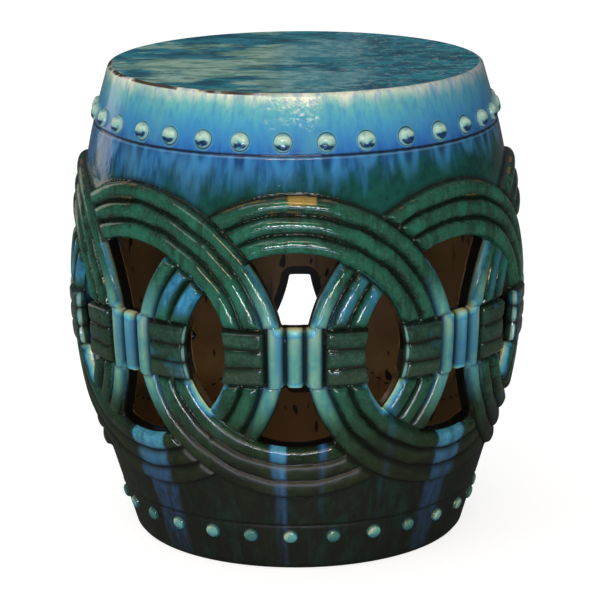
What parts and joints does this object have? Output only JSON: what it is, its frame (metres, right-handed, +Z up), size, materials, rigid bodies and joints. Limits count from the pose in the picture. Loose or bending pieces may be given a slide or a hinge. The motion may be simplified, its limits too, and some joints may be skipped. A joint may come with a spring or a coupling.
{
  "type": "ceramic garden stool",
  "caption": "Barrel-shaped glazed garden stool with a closed flat seat, an open foot and a pierced wall of interlaced rings lashed by cords.",
  "frame": {"origin": "centre of the foot, on the surface that the stool stands on", "axes": "+Z up along the barrel's axis; ring 1 faces -Y"},
  "size_m": [0.4454, 0.4454, 0.46],
  "materials": {
    "seat": "glossy dark teal glaze with cloudy grey-green patches",
    "shoulder": "glossy running glaze, turquoise and blue breaking to cream at the rim",
    "skirt": "glossy very dark olive glaze with faint teal runs",
    "ring": "glossy bottle-green glaze, brown-black in the grooves",
    "cord": "glossy dark green glaze",
    "tie": "glossy turquoise glaze, near black in the grooves",
    "stud": "glossy pale turquoise glaze, navy below"
  },
  "bodies": {
    "root": {"seat_slab": "seat", "shoulder_wall": "shoulder", "skirt_wall": "skirt", "ring_1": "ring", "cord_wraps_1": "cord", "tie_bar_1": "tie", "ring_2": "ring", "cord_wraps_2": "cord", "tie_bar_2": "tie", "ring_3": "ring", "cord_wraps_3": "cord", "tie_bar_3": "tie", "ring_4": "ring", "cord_wraps_4": "cord", "tie_bar_4": "tie", "ring_5": "ring", "cord_wraps_5": "cord", "tie_bar_5": "tie", "ring_6": "ring", "cord_wraps_6": "cord", "tie_bar_6": "tie", "ring_7": "ring", "cord_wraps_7": "cord", "tie_bar_7": "tie", "ring_8": "ring", "cord_wraps_8": "cord", "tie_bar_8": "tie", "upper_studs": "stud", "lower_studs": "stud"}
  },
  "joints": []
}
